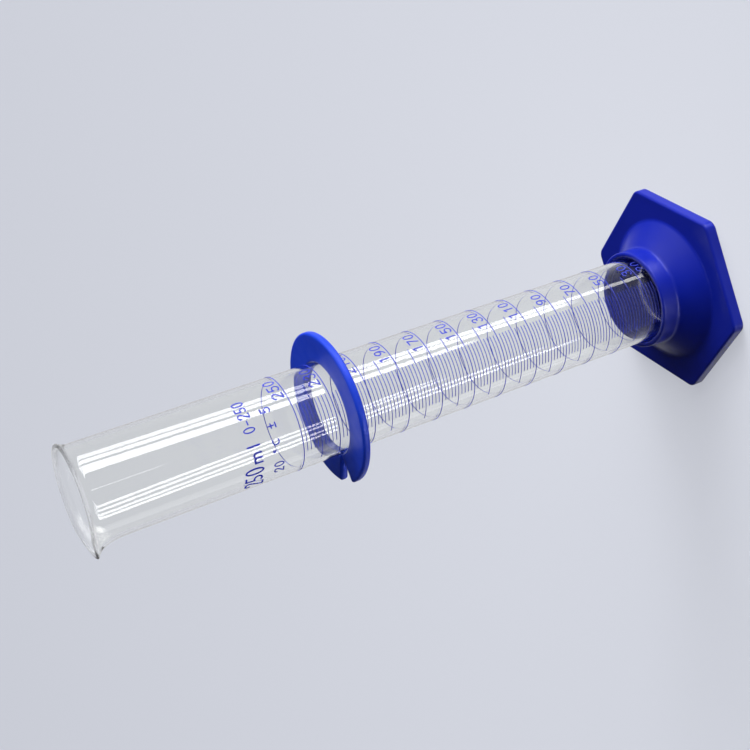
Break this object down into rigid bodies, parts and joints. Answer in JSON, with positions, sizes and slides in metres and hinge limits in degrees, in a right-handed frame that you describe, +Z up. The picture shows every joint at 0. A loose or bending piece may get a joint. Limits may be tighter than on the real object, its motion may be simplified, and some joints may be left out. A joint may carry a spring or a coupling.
{
  "type": "measuring cylinder",
  "caption": "Glass measuring cylinder with a pouring spout, printed volume scale, hexagonal plastic foot and a sliding guard ring.",
  "frame": {"origin": "centre of the foot's underside, on the table, on the tube's axis", "axes": "+Z up along the tube, +X through a corner of the hexagonal foot; the scale faces -Y and the spout about -X"},
  "size_m": [0.1018, 0.0896, 0.309],
  "materials": {
    "clear_glass": "polished",
    "blue_plastic": "gloss",
    "blue_ring_plastic": "satin",
    "blue_enamel": "satin"
  },
  "bodies": {
    "cylinder": {"glass_cylinder": "clear_glass", "hex_base": "blue_plastic", "scale_lines": "blue_enamel", "scale_numbers": "blue_enamel", "inscription": "blue_enamel"},
    "ring": {"guard_ring": "blue_ring_plastic"}
  },
  "joints": [
    {"name": "guard_slide", "type": "slide", "parent": "cylinder", "child": "ring", "axis": [0, 0, 1], "range_m": [-0.1668, 0.098]}
  ]
}
